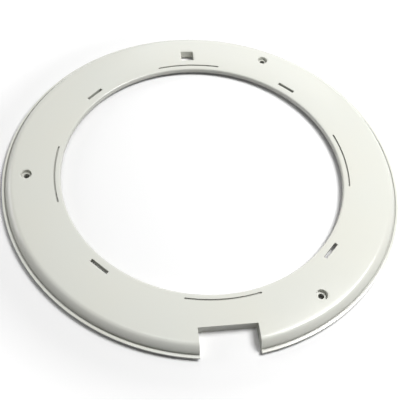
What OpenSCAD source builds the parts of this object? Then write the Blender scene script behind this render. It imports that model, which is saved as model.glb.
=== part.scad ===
// Door frame of a front-loading washing machine: one moulded plastic ring with a hinge pocket, a latch
// window, three counterbored screw holes and four clip slots. The ring lies face up. The origin is the
// centre of the ring, on the plane that the screw bosses and the hinge pocket's walls stand on.

/* [Ring] */
// Diameter over the outer lip
outer_d = 380; // [372:1:400]
// Diameter of the door opening
opening_d = 272; // [262:1:276]
// Height of the face at the opening, above the mounting plane
rim_h = 9; // [8.4:0.1:10]
// Height of the face at the shoulder, above the mounting plane
shoulder_h = 11.2; // [10.4:0.1:13]
// Rise of the face over a straight line from the opening to the shoulder
face_crown = 0.45; // [0:0.05:1]
// Thickness of the face
face_t = 2.4; // [2:0.1:2.8]
// Rounding of the face into the opening's wall
rim_round = 1.6; // [0.6:0.1:1.8]
// Thickness of the wall around the opening
rim_wall_t = 2.2; // [1.6:0.1:2.8]
// Height of that wall's lower edge above the mounting plane
rim_wall_z = 4.2; // [3:0.1:4.6]

/* [Shoulder and lip] */
// Width of the lip outside the skirt
lip_w = 3.1; // [2.6:0.1:5]
// Thickness of the lip
lip_t = 1.5; // [1.3:0.1:2]
// Height of the lip's underside above the mounting plane
lip_z = 2.5; // [1.5:0.1:3]
// Rounding of the lip's outer edge
lip_round = 0.4; // [0.1:0.1:0.6]
// Width of the fine groove between the skirt and the lip
lip_groove_w = 1; // [0.6:0.1:1.4]
// Depth of that groove
lip_groove_d = 0.7; // [0.3:0.1:0.9]
// Width that the skirt covers, from the shoulder out to the lip
skirt_w = 6.4; // [5:0.1:9]
// Bulge of the skirt over a straight line
skirt_bulge = 0.9; // [0.3:0.1:1.2]
// Thickness of the skirt, measured across the ring
skirt_t = 2.6; // [2:0.1:3.2]
// Rounding of the shoulder
shoulder_round = 4; // [1:0.5:6]

/* [Screw holes] */
// Distance from the lip's outer edge in to the circle that the screw holes lie on
screw_inset = 23; // [20:0.5:27]
// Number of screw holes, evenly spaced, with the first opposite the positive X axis
screw_n = 3; // [3, 6]
// Diameter of the hole for the screw
screw_hole_d = 5.3; // [4.2:0.1:6]
// Diameter of the recess for the screw's head
screw_head_d = 10; // [9:0.1:11]
// Depth of the recess
screw_head_depth = 3.4; // [2.5:0.1:4]
// Thickness of the recess's floor
screw_floor_t = 2.2; // [1.6:0.1:2.6]
// Thickness of the boss's wall around the recess and the hole
boss_wall_t = 2; // [1.6:0.1:2.6]

/* [Hinge pocket] */
// Width of the pocket
pocket_w = 50.2; // [40:0.2:60]
// Depth of the pocket, from the lip's outer edge in to its back wall
pocket_depth = 25; // [20:0.5:30]
// Thickness of the pocket's walls
pocket_wall_t = 2.2; // [1.6:0.1:2.8]
// Width of the fine line along the shoulder beside the pocket
shoulder_line_w = 0.9; // [0.5:0.1:1.2]
// Depth of that line
shoulder_line_d = 0.35; // [0.2:0.05:0.5]
// Length of the line past either side of the pocket
shoulder_line_l = 28; // [10:1:50]

/* [Latch window] */
// Width of the window
window_w = 13.5; // [10:0.5:18]
// Length of the window, measured away from the ring's centre
window_l = 13; // [10:0.5:15]
// Distance from the opening's edge out to the window's middle
window_inset = 19.4; // [18:0.2:22]
// Thickness of the window's sleeve
window_wall_t = 1.8; // [1.2:0.1:2.4]
// Height of the sleeve's lower edge above the mounting plane
window_sleeve_z = 2.5; // [1:0.1:4]

/* [Clip slots] */
// Number of slots, evenly spaced, with the first at 45 degrees
slot_n = 4; // [2, 4]
// Length of a slot
slot_l = 19.3; // [14:0.1:22]
// Width of a slot
slot_w = 3; // [2.4:0.1:3.6]
// Distance from the opening's edge out to a slot's middle line
slot_inset = 8.4; // [7.4:0.1:10]
// Thickness of a slot's collar
slot_wall_t = 1.5; // [1:0.1:2]
// Height of the collar's lower edge above the mounting plane
slot_collar_z = 4.6; // [3.5:0.1:5.5]

/* [Arc grooves] */
// Number of arc grooves, evenly spaced, with the first on the positive X axis
arc_n = 4; // [2, 4]
// Distance from the opening's edge out to a groove's middle line
arc_inset = 5.5; // [3.5:0.1:6]
// Angle from a groove's middle to either end
arc_reach = 13.5; // [8:0.5:20]
// Width of a groove
arc_w = 1.7; // [1.2:0.1:2]
// Depth of a groove
arc_d = 1.5; // [0.8:0.1:1.6]

/* [Ribs] */
// Number of places for radial ribs around the ring, which the hinge pocket interrupts
rib_n = 24; // [12:4:36]
// Thickness of a rib
rib_t = 1.6; // [1.2:0.1:2]
// Height of the ribs' lower edges above the mounting plane
rib_z = 4.4; // [3:0.1:5.5]

/* [Hidden] */
$fn = 96;
plastic = [0.90, 0.91, 0.88];
// Overlap that lets a cut run clear of a surface
over = 1;
outer_r = outer_d / 2;
opening_r = opening_d / 2;
skirt_foot_r = outer_r - lip_w;
shoulder_r = skirt_foot_r - skirt_w;
lip_top_z = lip_z + lip_t;
face_span = shoulder_r - opening_r;
arc_r = opening_r + arc_inset;
slot_r = opening_r + slot_inset;
window_r = opening_r + window_inset;
screw_r = outer_r - screw_inset;
pocket_back = outer_r - pocket_depth;
pocket_az = -90;
window_az = 90;
slot_first_az = 45;
screw_first_az = 180;

// Height of the face at a distance r from the centre
function face_z(r) = let (t = (r - opening_r) / face_span)
    rim_h + (shoulder_h - rim_h) * t + 4 * face_crown * t * (1 - t);
// Points on an arc about c, from angle a to angle b
function arc_pts(c, r, a, b, n) = [for (i = [0:n]) c + r * [cos(a + (b - a) * i / n), sin(a + (b - a) * i / n)]];
// Points from p to q on an arc whose middle stands h outside the straight line
function bulge_pts(p, q, h, n) = let (
    chord = norm(q - p),
    r = (chord * chord / 4 + h * h) / (2 * h),
    along = (q - p) / chord,
    out = [-along.y, along.x],
    c = (p + q) / 2 - (r - h) * out,
    half = asin(chord / 2 / r),
    mid = atan2(out.y, out.x)
) arc_pts(c, r, mid + half, mid - half, n);
// Points that round the corner at c between the directions u and v, which both point away from it
function round_pts(c, u, v, r, n) = let (
    a = norm(u), b = norm(v),
    half = acos((u * v) / a / b) / 2,
    bisector = u / a + v / b,
    centre = c + bisector / norm(bisector) * r / sin(half),
    from = c + u / a * r / tan(half) - centre,
    to = c + v / b * r / tan(half) - centre,
    fa = atan2(from.y, from.x), ta = atan2(to.y, to.x)
) arc_pts(centre, r, fa, ta, n);

// The face, from the opening to the shoulder
face_steps = 10;
function face_pts(drop) = [for (i = [1:face_steps - 1]) let (r = opening_r + face_span * i / face_steps)
    [r, face_z(r) - drop]];
shoulder = [shoulder_r, shoulder_h];
skirt_foot = [skirt_foot_r, lip_top_z];
skirt = bulge_pts(shoulder, skirt_foot, skirt_bulge, 8);

// Outline of the moulding's outside, closed along the mounting plane
module outside_2d() polygon(concat(
    [[opening_r, 0]],
    arc_pts([opening_r + rim_round, face_z(opening_r + rim_round) - rim_round], rim_round, 180, 90, 5),
    face_pts(0),
    round_pts(shoulder, face_pts(0)[face_steps - 2] - shoulder, skirt[1] - shoulder, shoulder_round, 4),
    [for (i = [2:7]) skirt[i]],
    [skirt_foot],
    arc_pts([outer_r - lip_round, lip_top_z - lip_round], lip_round, 90, 0, 3),
    [[outer_r, lip_z], [skirt_foot_r, lip_z], [skirt_foot_r - lip_t, 0]]
));

// Outline of the hollow under the face
module hollow_2d() polygon(concat(
    [[opening_r - over, -over], [opening_r - over, rim_wall_z], [opening_r + rim_wall_t, rim_wall_z]],
    [for (r = [opening_r + rim_wall_t]) [r, face_z(r) - face_t]],
    [for (p = face_pts(face_t)) if (p.x > opening_r + rim_wall_t && p.x < shoulder_r - skirt_t) p],
    [for (r = [shoulder_r - skirt_t]) [r, face_z(r) - face_t]],
    [for (i = [1:7]) skirt[i] - [skirt_t, face_t * (1 - i / 8)]],
    [[skirt_foot_r - skirt_t, lip_z], [outer_r + over, lip_z], [outer_r + over, -over]]
));

// The moulding's outside with nothing cut from it: ribs and walls are trimmed to it
module outside() rotate_extrude() outside_2d();

module shell() rotate_extrude() difference() {
    outside_2d();
    hollow_2d();
    translate([skirt_foot_r, lip_top_z - lip_groove_d]) square([lip_groove_w, lip_groove_d + over]);
}

// Turns its children to an angle about the ring's axis
module at_az(az) rotate([0, 0, az]) children();

// An upright plate that runs outwards along X from r0 to r1, from height z up
module radial_plate(r0, r1, t, z) translate([r0, -t / 2, z]) cube([r1 - r0, t, shoulder_h]);

module radial_ribs() {
    pocket_half = asin((pocket_w / 2 + pocket_wall_t + rib_t) / pocket_back);
    for (i = [0:rib_n - 1]) {
        az = (i + 0.5) * 360 / rib_n;
        from_pocket = abs(az - (360 + pocket_az));
        if (from_pocket > pocket_half) at_az(az) radial_plate(opening_r + rim_wall_t / 2,
            skirt_foot_r - skirt_t / 2, rib_t, rib_z);
    }
}

// A rib that follows the circle of the screws and ties the bosses together
module ring_rib() translate([0, 0, rib_z]) difference() {
    cylinder(r = screw_r + rib_t / 2, h = shoulder_h);
    translate([0, 0, -over]) cylinder(r = screw_r - rib_t / 2, h = shoulder_h + 2 * over);
}

function screw_az(i) = screw_first_az + i * 360 / screw_n;
recess_floor_z = face_z(screw_r) - screw_head_depth;

module at_screws() for (i = [0:screw_n - 1]) at_az(screw_az(i)) translate([screw_r, 0, 0]) children();

// The cup around a screw's head, and the tube that the screw passes down
module screw_boss() {
    cup_d = screw_head_d + 2 * boss_wall_t;
    cup_z = recess_floor_z - screw_floor_t;
    translate([0, 0, cup_z]) cylinder(d = cup_d, h = shoulder_h);
    cylinder(d = screw_hole_d + 2 * boss_wall_t, h = shoulder_h);
}

module screw_cut() {
    translate([0, 0, -over]) cylinder(d = screw_hole_d, h = shoulder_h + 2 * over);
    translate([0, 0, recess_floor_z]) cylinder(d = screw_head_d, h = shoulder_h);
}

// The pocket is open to the outside: a block that reaches past the lip
module pocket_block(grow, z) translate([-pocket_w / 2 - grow, -outer_r - over, z])
    cube([pocket_w + 2 * grow, outer_r + over - pocket_back + grow, shoulder_h + 2 * over]);

module slot_block(grow, z) for (i = [0:slot_n - 1]) at_az(slot_first_az + i * 360 / slot_n)
    translate([slot_r - slot_w / 2 - grow, -slot_l / 2 - grow, z])
    cube([slot_w + 2 * grow, slot_l + 2 * grow, shoulder_h + 2 * over]);

module window_block(grow, z) at_az(window_az) translate([window_r - window_l / 2 - grow, -window_w / 2 - grow, z])
    cube([window_l + 2 * grow, window_w + 2 * grow, shoulder_h + 2 * over]);

// An arc groove with round ends, cut from above
module arc_groove() {
    floor_z = face_z(arc_r) - arc_d;
    translate([0, 0, floor_z]) rotate([0, 0, -arc_reach]) rotate_extrude(angle = 2 * arc_reach)
        translate([arc_r - arc_w / 2, 0]) square([arc_w, arc_d + over]);
    for (side = [-1, 1]) rotate([0, 0, side * arc_reach]) translate([arc_r, 0, floor_z])
        cylinder(d = arc_w, h = arc_d + over, $fn = 24);
}

// The fine line that crisps up the shoulder beside the hinge pocket
module shoulder_line() {
    reach = asin(pocket_w / 2 / shoulder_r) + shoulder_line_l / shoulder_r * 180 / PI;
    rotate([0, 0, pocket_az - reach]) rotate_extrude(angle = 2 * reach)
        translate([shoulder_r, shoulder_h - shoulder_line_d]) square([shoulder_line_w, shoulder_line_d + over]);
}

// Everything that stands under the face
module under_walls() intersection() {
    outside();
    union() {
        radial_ribs();
        ring_rib();
        at_screws() screw_boss();
        pocket_block(pocket_wall_t, 0);
        slot_block(slot_wall_t, slot_collar_z);
        window_block(window_wall_t, window_sleeve_z);
    }
}

module door_frame() color(plastic) difference() {
    union() {
        shell();
        under_walls();
    }
    at_screws() screw_cut();
    pocket_block(0, -over);
    slot_block(0, -over);
    window_block(0, -over);
    for (i = [0:arc_n - 1]) at_az(i * 360 / arc_n) arc_groove();
    shoulder_line();
}

door_frame();
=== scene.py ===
# Door frame of a front-loading washing machine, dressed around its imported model. Lengths are in metres.
# The origin is the ring's centre on the plane that the frame stands on, +Z is out of the face, the hinge
# pocket is at -Y and the latch window at +Y.
import math

import bpy
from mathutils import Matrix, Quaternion, Vector


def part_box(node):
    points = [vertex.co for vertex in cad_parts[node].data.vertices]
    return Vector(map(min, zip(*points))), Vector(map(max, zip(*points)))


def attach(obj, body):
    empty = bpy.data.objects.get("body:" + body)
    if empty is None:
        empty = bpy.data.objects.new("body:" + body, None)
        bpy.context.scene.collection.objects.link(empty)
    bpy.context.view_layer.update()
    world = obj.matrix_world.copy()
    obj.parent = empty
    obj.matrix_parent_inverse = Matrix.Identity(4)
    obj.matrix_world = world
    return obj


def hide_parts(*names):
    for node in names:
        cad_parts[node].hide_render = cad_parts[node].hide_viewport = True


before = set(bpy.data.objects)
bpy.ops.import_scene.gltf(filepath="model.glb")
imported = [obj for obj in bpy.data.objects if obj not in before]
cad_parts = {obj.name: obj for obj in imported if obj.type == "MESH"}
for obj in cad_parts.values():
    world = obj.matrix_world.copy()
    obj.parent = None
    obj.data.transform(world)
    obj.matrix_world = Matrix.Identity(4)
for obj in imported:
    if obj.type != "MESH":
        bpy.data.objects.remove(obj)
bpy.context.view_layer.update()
cad_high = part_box("door_frame")[1]
mm = 0.001

# Outside of the moulding.
# The whole frame is one injection moulding in glossy off-white ABS. The cavity half of its mould gives the
# outside: a crowned face that rises outwards, a rounded shoulder, a convex skirt, a fine groove and a lip.
skin = 0.01 * mm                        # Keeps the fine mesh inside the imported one
outer_r = min(cad_high.x, cad_high.y) - skin
opening_r = outer_r - 54 * mm
rim_h = 9 * mm
shoulder_h = cad_high.z
face_crown = 0.45 * mm
rim_round = 1.6 * mm
lip_w = 3.1 * mm
lip_t = 1.5 * mm
lip_z = 2.5 * mm
lip_round = 0.4 * mm
groove_w = 1 * mm
groove_d = 0.7 * mm
skirt_w = 6.4 * mm
skirt_bulge = 0.9 * mm
shoulder_round = 1.7 * mm
skirt_foot_r = outer_r - lip_w
shoulder_r = skirt_foot_r - skirt_w
lip_top_z = lip_z + lip_t
face_span = shoulder_r - opening_r
clear = 1 * mm                          # How far a cutting tool runs past what it cuts
trim = 0.05 * mm                        # What the core then trims off the lip's underside
turns = 360                             # Steps around the whole ring


def deselect_all():
    """Leaves nothing selected, so that the next operator acts on its own piece only."""
    bpy.ops.object.select_all(action="DESELECT")


def face_z(r):
    """Height of the face at a distance r from the ring's centre."""
    t = (r - opening_r) / face_span
    return rim_h + (shoulder_h - rim_h) * t + 4 * face_crown * t * (1 - t)


def pick(piece, kind, wanted):
    """Selects the vertices, edges or faces that wanted() accepts, and ends in edit mode."""
    bpy.ops.object.mode_set(mode="EDIT")
    bpy.ops.mesh.select_mode(type=kind)
    bpy.ops.mesh.select_all(action="DESELECT")
    bpy.ops.object.mode_set(mode="OBJECT")
    mesh = piece.data
    parts = {"VERT": mesh.vertices, "EDGE": mesh.edges, "FACE": mesh.polygons}[kind]
    for part in parts:
        part.select = wanted(part)
    bpy.ops.object.mode_set(mode="EDIT")


def trace(name, start, steps):
    """A closed outline in the XZ plane, traced from start. A step is (radius, height, bulge, points)."""
    deselect_all()
    bpy.ops.mesh.primitive_plane_add(size=mm, location=(start[0], 0, start[1]))
    bpy.ops.object.transform_apply(location=True)
    piece = bpy.context.object
    piece.name = name
    bpy.ops.object.mode_set(mode="EDIT")
    bpy.ops.mesh.select_mode(type="VERT")
    bpy.ops.mesh.merge(type="CENTER")
    here = Vector((start[0], 0, start[1]))
    for r, z, bulge, points in steps + [(start[0], start[1], 0, 1)]:
        there = Vector((r, 0, z))
        chord = there - here
        if bulge == 0:
            bpy.ops.mesh.extrude_region_move(TRANSFORM_OT_translate={"value": chord})
        else:
            radius = (chord.length ** 2 / 4 + bulge ** 2) / (2 * bulge)
            outwards = Vector((-chord.z, 0, chord.x)).normalized()
            centre = (here + there) / 2 - outwards * (radius - bulge)
            sweep = 2 * math.asin(chord.length / 2 / radius)
            bpy.ops.mesh.spin(steps=points, angle=-sweep, center=centre, axis=(0, 1, 0))
        here = there
    bpy.ops.mesh.select_all(action="SELECT")
    bpy.ops.mesh.remove_doubles(threshold=skin / 2)
    bpy.ops.object.mode_set(mode="OBJECT")
    return piece


def round_corner(piece, r, z, size, points):
    """Rounds the outline's corner at radius r and height z."""
    pick(piece, "VERT", lambda v: math.hypot(v.co.x - r, v.co.z - z) < skin)
    bpy.ops.mesh.bevel(affect="VERTICES", offset=size, segments=points, profile=0.5)
    bpy.ops.object.mode_set(mode="OBJECT")


def turn_ring(piece, phase):
    """Turns an outline about the ring's axis into a closed ring whose steps start at a share of a step."""
    bpy.ops.object.mode_set(mode="EDIT")
    bpy.ops.mesh.select_all(action="SELECT")
    bpy.ops.transform.rotate(value=phase * math.tau / turns, orient_axis="Z", center_override=(0, 0, 0))
    bpy.ops.mesh.spin(steps=turns, angle=math.tau, center=(0, 0, 0), axis=(0, 0, 1))
    bpy.ops.mesh.select_all(action="SELECT")
    bpy.ops.mesh.remove_doubles(threshold=skin / 2)
    bpy.ops.mesh.normals_make_consistent(inside=False)
    bpy.ops.object.mode_set(mode="OBJECT")


moulding = trace("ring_moulding", (opening_r, 0), [
    (opening_r, rim_h, 0, 1),
    (shoulder_r, shoulder_h, face_crown, 12),
    (skirt_foot_r, lip_top_z, skirt_bulge, 4),
    (skirt_foot_r, lip_top_z - groove_d, 0, 1),
    (skirt_foot_r + groove_w, lip_top_z - groove_d, 0, 1),
    (skirt_foot_r + groove_w, lip_top_z, 0, 1),
    (outer_r, lip_top_z, 0, 1),
    (outer_r, lip_z - trim, 0, 1),
    (skirt_foot_r, lip_z - trim, 0, 1),
    (skirt_foot_r - lip_t, 0, 0, 1),
])
round_corner(moulding, opening_r, rim_h, rim_round, 6)
round_corner(moulding, shoulder_r, shoulder_h, shoulder_round, 6)
round_corner(moulding, outer_r, lip_top_z, lip_round, 4)
turn_ring(moulding, 0.5)

# Hollow, ribs and bosses.
# The core half of the mould gives the underside: a hollow under the face, which leaves a wall 2.4 mm thick.
# Slots milled in the core give the ribs, the screw bosses and the walls of the pocket, window and clip slots.
face_t = 2.4 * mm
rim_wall_t = 2.2 * mm
rim_wall_z = 4.2 * mm
skirt_t = 2.6 * mm
rib_t = 1.6 * mm
rib_z = 4.4 * mm
rib_n = 24
above = cad_high.z + 4 * clear
below = -2 * clear


def cut(piece, tool, operation="DIFFERENCE"):
    """Takes a tool's shape away from a piece, and removes the tool."""
    deselect_all()
    bpy.context.view_layer.objects.active = piece
    boolean = piece.modifiers.new("cut", "BOOLEAN")
    boolean.object = tool
    boolean.operation = operation
    boolean.solver = "MANIFOLD"
    bpy.ops.object.modifier_apply(modifier=boolean.name)
    bpy.data.objects.remove(tool)


def block(low, high):
    """A box between two corners."""
    deselect_all()
    middle = [(a + b) / 2 for a, b in zip(low, high)]
    size = [b - a for a, b in zip(low, high)]
    bpy.ops.mesh.primitive_cube_add(size=1, location=middle, scale=size)
    bpy.ops.object.transform_apply(location=True, scale=True)
    return bpy.context.object


def drum(r, low, high, x):
    """An upright cylinder on the X axis."""
    deselect_all()
    place = (x, 0, (low + high) / 2)
    bpy.ops.mesh.primitive_cylinder_add(vertices=64, radius=r, depth=high - low, location=place)
    bpy.ops.object.transform_apply(location=True)
    return bpy.context.object


def repeat(tool, first, step, count):
    """Turns a tool from the X axis to its first place, and copies it around the ring."""
    bpy.ops.object.mode_set(mode="EDIT")
    bpy.ops.mesh.select_all(action="SELECT")
    bpy.ops.object.mode_set(mode="OBJECT")
    tool.rotation_euler.z = math.radians(first)
    bpy.ops.object.transform_apply(rotation=True)
    if count > 1:
        bpy.ops.object.mode_set(mode="EDIT")
        sweep = math.radians(step * (count - 1))
        bpy.ops.mesh.spin(steps=count - 1, angle=-sweep, dupli=True, center=(0, 0, 0), axis=(0, 0, 1))
        bpy.ops.object.mode_set(mode="OBJECT")
    return tool


under_face = shoulder_r - skirt_t
core = trace("core", (opening_r - clear, -clear), [
    (opening_r - clear, rim_wall_z, 0, 1),
    (opening_r + rim_wall_t, rim_wall_z, 0, 1),
    (opening_r + rim_wall_t, face_z(opening_r + rim_wall_t) - face_t, 0, 1),
    (under_face, face_z(under_face) - face_t, face_crown, 10),
    (skirt_foot_r - skirt_t, lip_z, skirt_bulge, 6),
    (outer_r + clear, lip_z, 0, 1),
    (outer_r + clear, -clear, 0, 1),
])
turn_ring(core, 0.25)

screw_r = outer_r - 23 * mm
screw_n = 3
screw_hole_r = 2.65 * mm
screw_head_r = 5 * mm
screw_head_depth = 3.4 * mm
screw_floor_t = 2.2 * mm
boss_wall_t = 2 * mm
recess_floor_z = face_z(screw_r) - screw_head_depth

pocket_half = 25.1 * mm
pocket_back = outer_r - 25 * mm
pocket_wall_t = 2.2 * mm

window_half_w = 6.75 * mm
window_half_l = 6.5 * mm
window_r = opening_r + 19.4 * mm
window_wall_t = 1.8 * mm
window_sleeve_z = 2.5 * mm

slot_half_l = 9.65 * mm
slot_half_w = 1.5 * mm
slot_r = opening_r + 8.4 * mm
slot_wall_t = 1.5 * mm
slot_collar_z = 4.6 * mm

rib = block((opening_r + rim_wall_t / 2, -rib_t / 2, rib_z), (skirt_foot_r - skirt_t / 2, rib_t / 2, above))
cut(core, repeat(rib, 292.5, 360 / rib_n, rib_n - 2))

ring_rib = trace("ring_rib", (screw_r - rib_t / 2, rib_z), [
    (screw_r - rib_t / 2, above, 0, 1),
    (screw_r + rib_t / 2, above, 0, 1),
    (screw_r + rib_t / 2, rib_z, 0, 1),
])
turn_ring(ring_rib, 0)
cut(core, ring_rib)

cup = drum(screw_head_r + boss_wall_t, recess_floor_z - screw_floor_t, above, screw_r)
cut(core, repeat(cup, 180, 360 / screw_n, screw_n))
post = drum(screw_hole_r + boss_wall_t, below, above, screw_r)
cut(core, repeat(post, 180, 360 / screw_n, screw_n))

cut(core, block(
    (-pocket_half - pocket_wall_t, -outer_r - 2 * clear, below),
    (pocket_half + pocket_wall_t, -pocket_back + pocket_wall_t, above),
))
collar = block(
    (slot_r - slot_half_w - slot_wall_t, -slot_half_l - slot_wall_t, slot_collar_z),
    (slot_r + slot_half_w + slot_wall_t, slot_half_l + slot_wall_t, above),
)
cut(core, repeat(collar, 45, 90, 4))
cut(core, block(
    (-window_half_w - window_wall_t, window_r - window_half_l - window_wall_t, window_sleeve_z),
    (window_half_w + window_wall_t, window_r + window_half_l + window_wall_t, above),
))
cut(moulding, core)

# Screw recesses.
# Three 4.8 mm screws hold the frame to the inner door frame. Each has a through hole and a round recess
# for its head, which the mould's pins form, with a fine rounding where they break through the face.
lead = 0.25 * mm


def slope(r):
    """Angle at which the face rises outwards at a distance r."""
    return math.atan((face_z(r + mm) - face_z(r - mm)) / (2 * mm))


def flare(tool, r, reach_x, reach_y):
    """Widens the top of a tool that ends a little under the face, so that it leaves a rounded edge."""
    tilt = slope(r)
    top = face_z(r) - lead
    pick(tool, "FACE", lambda f: f.normal.z > 0.9 and f.center.z > top - lead)
    bpy.ops.transform.rotate(value=tilt, orient_axis="Y", center_override=(r, 0, top))
    wide = 0
    for angle in (30, 60, 80):
        rise = lead * (math.sin(math.radians(angle)) - math.sin(math.radians(max(angle - 30, 0))))
        bpy.ops.mesh.extrude_region_move(TRANSFORM_OT_translate={"value": (0, 0, rise)})
        wider = lead * (1 - math.cos(math.radians(angle)))
        x = (reach_x + wider) / (reach_x + wide)
        y = (reach_y + wider) / (reach_y + wide)
        bpy.ops.transform.resize(value=(x, y, 1), center_override=(r, 0, 0))
        wide = wider
    bpy.ops.mesh.extrude_region_move(TRANSFORM_OT_translate={"value": (0, 0, 3 * clear)})
    bpy.ops.object.mode_set(mode="OBJECT")


recess = drum(screw_head_r, recess_floor_z, face_z(screw_r) - lead, screw_r)
pick(recess, "FACE", lambda f: f.normal.z < -0.9)
bpy.ops.mesh.inset(thickness=screw_head_r - screw_hole_r)
bpy.ops.mesh.extrude_region_move(TRANSFORM_OT_translate={"value": (0, 0, below - recess_floor_z)})
bpy.ops.object.mode_set(mode="OBJECT")
flare(recess, screw_r, screw_head_r, screw_head_r)
cut(moulding, repeat(recess, 180, 360 / screw_n, screw_n))

# Latch window.
# The door's latch hook comes through this square window. A sleeve runs down around it, so only dark shows.
window_corner = 0.6 * mm


def upright_edges(piece, low, high):
    """Picks the edges that stand upright between two heights."""
    points = piece.data.vertices

    def upright(edge):
        a, b = (points[i].co for i in edge.vertices)
        return (a - b).xy.length < skin and low < (a.z + b.z) / 2 < high

    pick(piece, "EDGE", upright)


def opening_tool(r, half_x, half_y, corner):
    """A tool for a rectangular opening through the face, with rounded corners."""
    tool = block((r - half_x, -half_y, below), (r + half_x, half_y, face_z(r) - lead))
    upright_edges(tool, below, above)
    bpy.ops.mesh.bevel(affect="EDGES", offset=corner, segments=4)
    bpy.ops.object.mode_set(mode="OBJECT")
    flare(tool, r, half_x, half_y)
    return tool


window = opening_tool(window_r, window_half_l, window_half_w, window_corner)
cut(moulding, repeat(window, 90, 0, 1))

# Clip slots.
# Four narrow slots take the clips of the glass surround. Each has a shallow collar under the face.
slot_corner = 0.3 * mm
slot = opening_tool(slot_r, slot_half_w, slot_half_l, slot_corner)
cut(moulding, repeat(slot, 45, 90, 4))

# Arc grooves.
# Four narrow grooves follow the opening, moulded 1.5 mm deep into the face, with round ends.
arc_r = opening_r + 5.5 * mm
arc_half_w = 0.85 * mm
arc_d = 1.5 * mm
arc_reach = 13.5


def arc_tool(r, half_w, floor_z, reach):
    """A tool that follows a circle over twice a reach in degrees, with its middle on the X axis."""
    tool = block((r - half_w, -skin, floor_z), (r + half_w, skin, above))
    pick(tool, "FACE", lambda f: f.normal.y > 0.9)
    half = math.radians(reach)
    bpy.ops.mesh.spin(steps=round(reach), angle=-half, center=(0, 0, 0), axis=(0, 0, 1))
    pick(tool, "FACE", lambda f: f.normal.y < -0.9 and abs(f.center.y) < mm)
    bpy.ops.mesh.spin(steps=round(reach), angle=half, center=(0, 0, 0), axis=(0, 0, 1))
    bpy.ops.mesh.select_all(action="SELECT")
    bpy.ops.mesh.normals_make_consistent(inside=False)
    bpy.ops.object.mode_set(mode="OBJECT")
    return tool


def round_ends(tool, reach, size):
    """Rounds the upright edges at both ends of an arc tool."""
    upright_edges(tool, below, above)
    bpy.ops.object.mode_set(mode="OBJECT")
    spots = tool.data.vertices
    for side in tool.data.edges:
        spot = spots[side.vertices[0]].co
        at_end = abs(math.atan2(spot.y, spot.x)) > math.radians(reach - 0.5)
        side.select = side.select and at_end
    bpy.ops.object.mode_set(mode="EDIT")
    bpy.ops.mesh.bevel(affect="EDGES", offset=size, segments=5)
    bpy.ops.object.mode_set(mode="OBJECT")


groove = arc_tool(arc_r, arc_half_w, face_z(arc_r) - arc_d, arc_reach)
round_ends(groove, arc_reach, 0.95 * arc_half_w)
cut(moulding, repeat(groove, 0, 90, 4))

# Hinge pocket.
# The door hinge's arm lies in this pocket, which is open to the outside. Its three walls run down to the
# plane of the screw bosses, and a fine line crisps up the shoulder beside it.
pocket_corner = 0.6 * mm
line_w = 0.9 * mm
line_d = 0.35 * mm
line_l = 28 * mm
pocket = block((-pocket_half, -outer_r - clear, below), (pocket_half, -pocket_back, above))
points = pocket.data.vertices
upright_edges(pocket, below, above)
bpy.ops.object.mode_set(mode="OBJECT")
for edge in pocket.data.edges:
    edge.select = edge.select and points[edge.vertices[0]].co.y > -outer_r
bpy.ops.object.mode_set(mode="EDIT")
bpy.ops.mesh.bevel(affect="EDGES", offset=pocket_corner, segments=4)
bpy.ops.object.mode_set(mode="OBJECT")
cut(moulding, pocket)

line_reach = math.degrees(math.asin(pocket_half / shoulder_r) + line_l / shoulder_r)
line = arc_tool(shoulder_r + line_w / 2, line_w / 2, shoulder_h - line_d, line_reach)
cut(moulding, repeat(line, -90, 0, 1))

deselect_all()
moulding.select_set(True)
bpy.context.view_layer.objects.active = moulding
bpy.ops.object.shade_smooth_by_angle(angle=math.radians(35))

# Finish of the moulding.
# Off-white ABS straight from a polished mould: glossy, with the faint orange peel, uneven tint and slightly
# uneven gloss of a large moulding that has been handled. Its hollows are darkened with painted shade.


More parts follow.
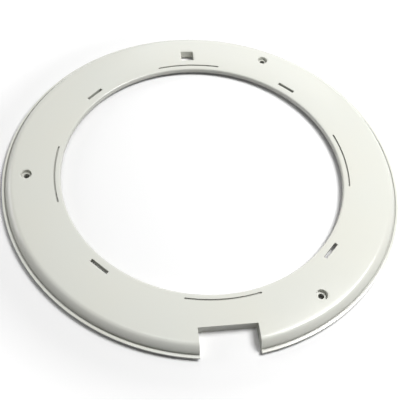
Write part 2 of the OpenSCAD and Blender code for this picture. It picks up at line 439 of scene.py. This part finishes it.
def moulded_abs():
    """Glossy off-white ABS."""
    finish = bpy.data.materials.new("moulded_abs")
    finish.use_nodes = True
    nodes = finish.node_tree.nodes
    links = finish.node_tree.links
    shader = nodes["Principled BSDF"]
    shader.inputs["IOR"].default_value = 1.53
    where = nodes.new("ShaderNodeTexCoord").outputs["Object"]

    def cloud(scale, detail):
        texture = nodes.new("ShaderNodeTexNoise")
        texture.inputs["Scale"].default_value = scale
        texture.inputs["Detail"].default_value = detail
        links.new(where, texture.inputs["Vector"])
        return texture.outputs["Fac"]

    tint = nodes.new("ShaderNodeMix")
    tint.data_type = "RGBA"
    tint.inputs["A"].default_value = (0.745, 0.762, 0.715, 1)
    tint.inputs["B"].default_value = (0.770, 0.765, 0.680, 1)
    links.new(cloud(12, 2), tint.inputs["Factor"])

    # Painted shade in the screw holes, slots and grooves, and a little along the lip: the base colour turns
    # dark where ambient occlusion within 8 mm is strong
    near = nodes.new("ShaderNodeAmbientOcclusion")
    near.inputs["Distance"].default_value = 8 * mm
    near.samples = 12
    near.only_local = True
    painted_shade_factor = nodes.new("ShaderNodeMapRange")
    painted_shade_factor.inputs["From Min"].default_value = 0.12
    painted_shade_factor.inputs["From Max"].default_value = 0.62
    links.new(near.outputs["AO"], painted_shade_factor.inputs["Value"])
    painted_shade_mix = nodes.new("ShaderNodeMix")
    painted_shade_mix.data_type = "RGBA"
    # The dark colour of the painted shade in the hollows
    painted_shade_mix.inputs["A"].default_value = (0.10, 0.10, 0.085, 1)
    links.new(painted_shade_factor.outputs["Result"], painted_shade_mix.inputs["Factor"])
    links.new(tint.outputs["Result"], painted_shade_mix.inputs["B"])
    links.new(painted_shade_mix.outputs["Result"], shader.inputs["Base Color"])

    gloss = nodes.new("ShaderNodeMapRange")
    gloss.inputs["To Min"].default_value = 0.15
    gloss.inputs["To Max"].default_value = 0.25
    links.new(cloud(60, 4), gloss.inputs["Value"])
    links.new(gloss.outputs["Result"], shader.inputs["Roughness"])

    peel = nodes.new("ShaderNodeBump")
    peel.inputs["Strength"].default_value = 0.25
    peel.inputs["Distance"].default_value = 0.02 * mm
    links.new(cloud(420, 2), peel.inputs["Height"])
    links.new(peel.outputs["Normal"], shader.inputs["Normal"])
    return finish


# The cuts left an empty material slot, which would keep the finish off the faces
moulding.data.materials.clear()
moulding.data.materials.append(moulded_abs())
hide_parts("door_frame")
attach(moulding, "root")

# Camera.
# It stands where the photograph was taken from, fitted to the outlines of the ring and its openings.
view_az = math.radians(12.36)
view_el = math.radians(54.57)
view_roll = math.radians(6.96)
view_distance = 570 * mm
aim = Vector((-7.24, -34.53, 2.5)) * mm
picture_px = 400
focal_px = 605.7
film = 36

forward = Vector((
    math.sin(view_az) * math.cos(view_el),
    math.cos(view_az) * math.cos(view_el),
    -math.sin(view_el),
))
lens = bpy.data.cameras.new("photo_camera")
lens.sensor_width = film
lens.lens = film * focal_px / picture_px
camera = bpy.data.objects.new("photo_camera", lens)
bpy.context.scene.collection.objects.link(camera)
camera.rotation_mode = "QUATERNION"
level = forward.to_track_quat("-Z", "Y")
camera.rotation_quaternion = Quaternion(forward, -view_roll) @ level
camera.location = aim - view_distance * forward
bpy.context.scene.camera = camera

# Floor.
# A plain pale floor under the ring. It shows white, keeps the ring's shadow and fades into a white room. To
# the light that bounces off it it is a mid grey, so that it doesn't light the underside.
floor_size = 6
floor_white = 1.0
floor_glow = 0.03
floor_grey = 0.35
fade_start = 0.21
fade_end = 0.42


def shown_directly(tree):
    """1 for the camera, in reflections and through glass, and 0 for other light."""
    path = tree.nodes.new("ShaderNodeLightPath")
    direct = tree.nodes.new("ShaderNodeMath")
    direct.operation = "MAXIMUM"
    shown = tree.nodes.new("ShaderNodeMath")
    shown.operation = "MAXIMUM"
    tree.links.new(path.outputs["Is Camera Ray"], direct.inputs[0])
    tree.links.new(path.outputs["Is Glossy Ray"], direct.inputs[1])
    tree.links.new(direct.outputs[0], shown.inputs[0])
    tree.links.new(path.outputs["Is Transmission Ray"], shown.inputs[1])
    return shown.outputs[0]


def floor_finish():
    """White to the camera, in reflections and through glass, and grey to other light."""
    finish = bpy.data.materials.new("pale_floor")
    finish.use_nodes = True
    nodes = finish.node_tree.nodes
    links = finish.node_tree.links
    nodes.clear()
    out = nodes.new("ShaderNodeOutputMaterial")
    white = nodes.new("ShaderNodeBsdfDiffuse")
    white.inputs["Color"].default_value = (floor_white, floor_white, floor_white, 1)
    where = nodes.new("ShaderNodeTexCoord").outputs["Object"]
    away = nodes.new("ShaderNodeVectorMath")
    away.operation = "LENGTH"
    fade = nodes.new("ShaderNodeMapRange")
    fade.inputs["From Min"].default_value = fade_start
    fade.inputs["From Max"].default_value = fade_end
    fade.inputs["To Min"].default_value = floor_glow
    fade.inputs["To Max"].default_value = 1
    glow = nodes.new("ShaderNodeEmission")
    links.new(where, away.inputs[0])
    links.new(away.outputs["Value"], fade.inputs["Value"])
    links.new(fade.outputs["Result"], glow.inputs["Strength"])
    seen = nodes.new("ShaderNodeAddShader")
    links.new(white.outputs[0], seen.inputs[0])
    links.new(glow.outputs[0], seen.inputs[1])
    bounce = nodes.new("ShaderNodeBsdfDiffuse")
    bounce.inputs["Color"].default_value = (floor_grey, floor_grey, floor_grey, 1)
    mix = nodes.new("ShaderNodeMixShader")
    links.new(shown_directly(finish.node_tree), mix.inputs[0])
    links.new(bounce.outputs[0], mix.inputs[1])
    links.new(seen.outputs[0], mix.inputs[2])
    links.new(mix.outputs[0], out.inputs["Surface"])
    return finish


deselect_all()
bpy.ops.mesh.primitive_plane_add(size=floor_size)
floor = bpy.context.object
floor.name = "floor"
floor.data.materials.append(floor_finish())

# Light.
# A large softbox high on the right, whose reflection runs along the near shoulder, weak ones low at the
# left and behind, a narrow one overhead, and a room that is dim but shows white. Together they light a
# level surface at about its written colour.
room_strength = 0.07
softbox_distance = 1
world = bpy.data.worlds.new("studio")
bpy.context.scene.world = world
world.use_nodes = True
room = world.node_tree.nodes["Background"]
room.inputs["Color"].default_value = (1, 1, 1, 1)
room_shown = world.node_tree.nodes.new("ShaderNodeMath")
room_shown.operation = "MAXIMUM"
room_shown.inputs[1].default_value = room_strength
world.node_tree.links.new(shown_directly(world.node_tree), room_shown.inputs[0])
world.node_tree.links.new(room_shown.outputs[0], room.inputs["Strength"])


def softbox(name, azimuth, elevation, width, height, power):
    """An area lamp that faces the ring's centre. Azimuth 0 is on the right, and 90 behind."""
    a = math.radians(azimuth)
    e = math.radians(elevation)
    away = Vector((math.cos(e) * math.cos(a), math.cos(e) * math.sin(a), math.sin(e)))
    lamp = bpy.data.lights.new(name, "AREA")
    lamp.shape = "RECTANGLE"
    lamp.size = width
    lamp.size_y = height
    lamp.energy = power
    piece = bpy.data.objects.new(name, lamp)
    piece.location = softbox_distance * away
    piece.rotation_mode = "QUATERNION"
    piece.rotation_quaternion = (-away).to_track_quat("-Z", "Y")
    bpy.context.scene.collection.objects.link(piece)


softbox("main_softbox", 0, 60, 0.43, 0.43, 8.6)
softbox("overhead_softbox", 0, 85, 0.09, 0.64, 1.5)
softbox("left_softbox", 160, 15, 0.5, 0.5, 2.2)
softbox("back_softbox", 75, 30, 0.5, 0.5, 1.1)
bpy.context.scene.view_settings.view_transform = "Standard"
